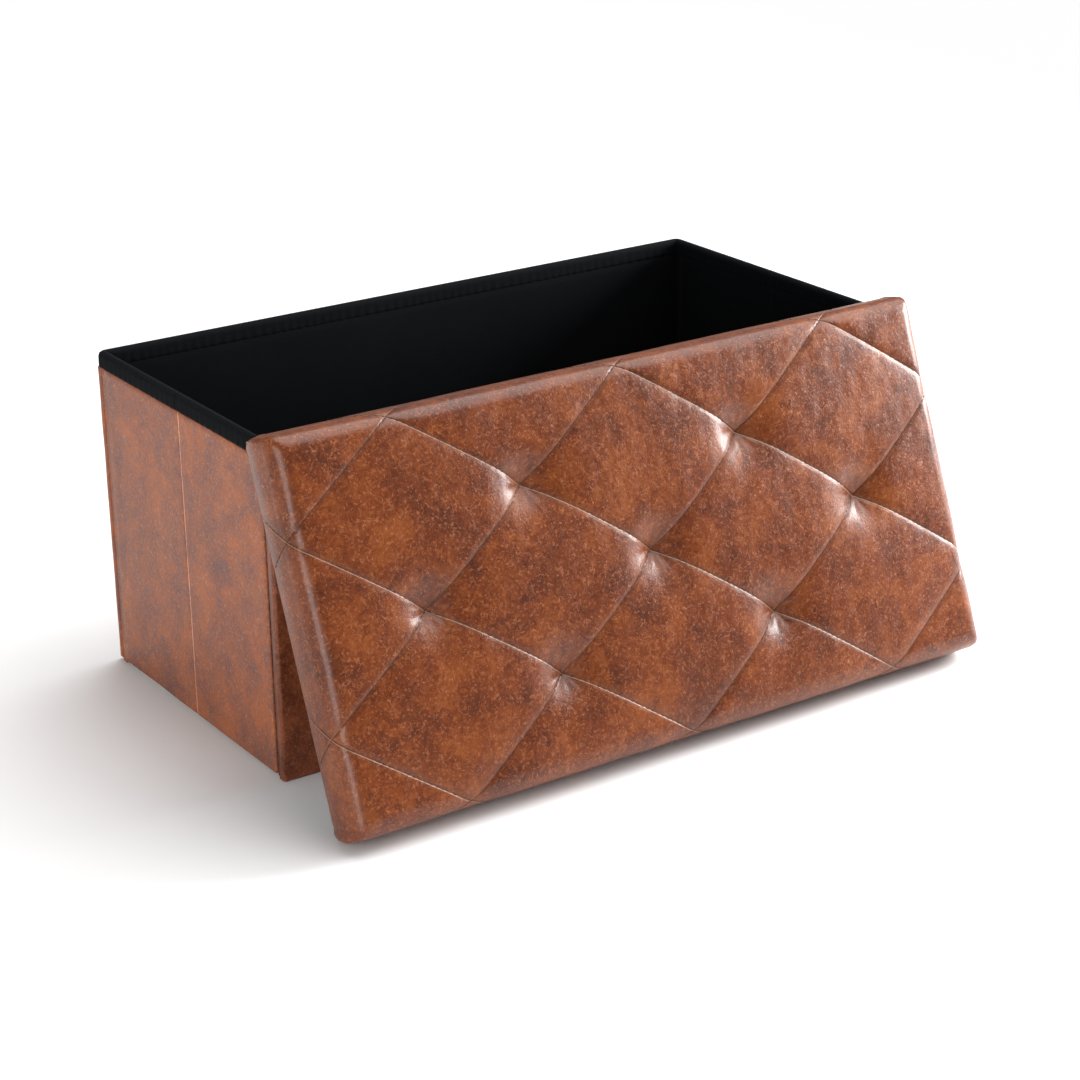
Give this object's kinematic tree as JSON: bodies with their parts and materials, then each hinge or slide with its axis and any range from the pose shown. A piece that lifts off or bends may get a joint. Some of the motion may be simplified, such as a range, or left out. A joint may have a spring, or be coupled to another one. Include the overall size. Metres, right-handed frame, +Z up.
{
  "type": "storage ottoman",
  "caption": "Folding storage ottoman: open leathercloth box with black lining and a diamond-tufted padded lid leaning on its front rim.",
  "frame": {"origin": "on the floor, at the centre of the box's footprint", "axes": "+X along the box's length, +Y from the front, where the lid leans, to the back, +Z up"},
  "size_m": [0.77, 0.5458, 0.369],
  "materials": {
    "leathercloth": "semi-gloss grained leathercloth, orange brown with dark mottle",
    "lining_cloth": "matt black lining cloth",
    "binding_cloth": "matt black woven binding",
    "underside_cloth": "matt black spunbonded cloth",
    "fibreboard": "raw fibreboard, pale brown",
    "foam": "open-cell foam, cream",
    "thread": "dark brown sewing thread"
  },
  "bodies": {
    "front_wall": {"front_board": "fibreboard", "front_leather": "leathercloth", "front_lining": "lining_cloth", "front_left_corner_seam": "leathercloth", "front_right_corner_seam": "leathercloth"},
    "front_rim": {"front_rim_cord": "binding_cloth"},
    "lid": {"lid_cover": "leathercloth", "lid_foam": "foam", "lid_board": "fibreboard", "lid_sheet": "underside_cloth", "lid_tuft_tie_1": "thread", "lid_tuft_tie_2": "thread", "lid_tuft_tie_3": "thread", "lid_tuft_tie_4": "thread", "lid_tuft_tie_5": "thread", "lid_tuft_tie_6": "thread", "lid_tuft_tie_7": "thread"},
    "back_wall": {"back_board": "fibreboard", "back_leather": "leathercloth", "back_lining": "lining_cloth", "back_binding": "binding_cloth", "back_left_corner_seam": "leathercloth", "back_right_corner_seam": "leathercloth"},
    "base": {"base_board": "fibreboard", "base_cover": "lining_cloth"},
    "left_front_leaf": {"left_front_board": "fibreboard", "left_front_leather": "leathercloth", "left_front_lining": "lining_cloth", "left_front_binding": "binding_cloth"},
    "left_rear_leaf": {"left_rear_board": "fibreboard", "left_rear_leather": "leathercloth", "left_rear_lining": "lining_cloth", "left_rear_binding": "binding_cloth"},
    "right_front_leaf": {"right_front_board": "fibreboard", "right_front_leather": "leathercloth", "right_front_lining": "lining_cloth", "right_front_binding": "binding_cloth"},
    "right_rear_leaf": {"right_rear_board": "fibreboard", "right_rear_leather": "leathercloth", "right_rear_lining": "lining_cloth", "right_rear_binding": "binding_cloth"}
  },
  "joints": [
    {"name": "lid_swing", "type": "hinge", "parent": "front_wall", "child": "front_rim", "pos_m": [0, -0.1774, 0.3415], "axis": [-1, 0, 0], "range_deg": [0, 68.6]},
    {"name": "lid_slide", "type": "slide", "parent": "front_rim", "child": "lid", "axis": [0.0337, 0.3647, 0.9305], "range_m": [0, 0.35627]},
    {"name": "fold", "type": "hinge", "parent": "front_wall", "child": "left_front_leaf", "pos_m": [-0.3648, -0.1658, 0.17], "axis": [0, 0, -1], "range_deg": [0, 88]},
    {"name": "left_crease", "type": "hinge", "parent": "left_front_leaf", "child": "left_rear_leaf", "pos_m": [-0.3745, 0, 0.17], "axis": [0, 0, 1], "range_deg": [0, 176]},
    {"name": "back_left_corner", "type": "hinge", "parent": "left_rear_leaf", "child": "back_wall", "pos_m": [-0.3648, 0.1658, 0.17], "axis": [0, 0, -1], "range_deg": [0, 88]},
    {"name": "front_right_corner", "type": "hinge", "parent": "front_wall", "child": "right_front_leaf", "pos_m": [0.3648, -0.1658, 0.17], "axis": [0, 0, 1], "range_deg": [0, 88]},
    {"name": "right_crease", "type": "hinge", "parent": "right_front_leaf", "child": "right_rear_leaf", "pos_m": [0.3745, 0, 0.17], "axis": [0, 0, -1], "range_deg": [0, 176]},
    {"name": "base_flap", "type": "hinge", "parent": "front_wall", "child": "base", "pos_m": [0, -0.1713, 0.0033], "axis": [1, 0, 0], "range_deg": [0, 90]}
  ],
  "couplings": [
    {"joint": "left_crease", "follows": "fold", "ratio": 2},
    {"joint": "back_left_corner", "follows": "fold", "ratio": 1},
    {"joint": "front_right_corner", "follows": "fold", "ratio": 1},
    {"joint": "right_crease", "follows": "fold", "ratio": 2}
  ]
}
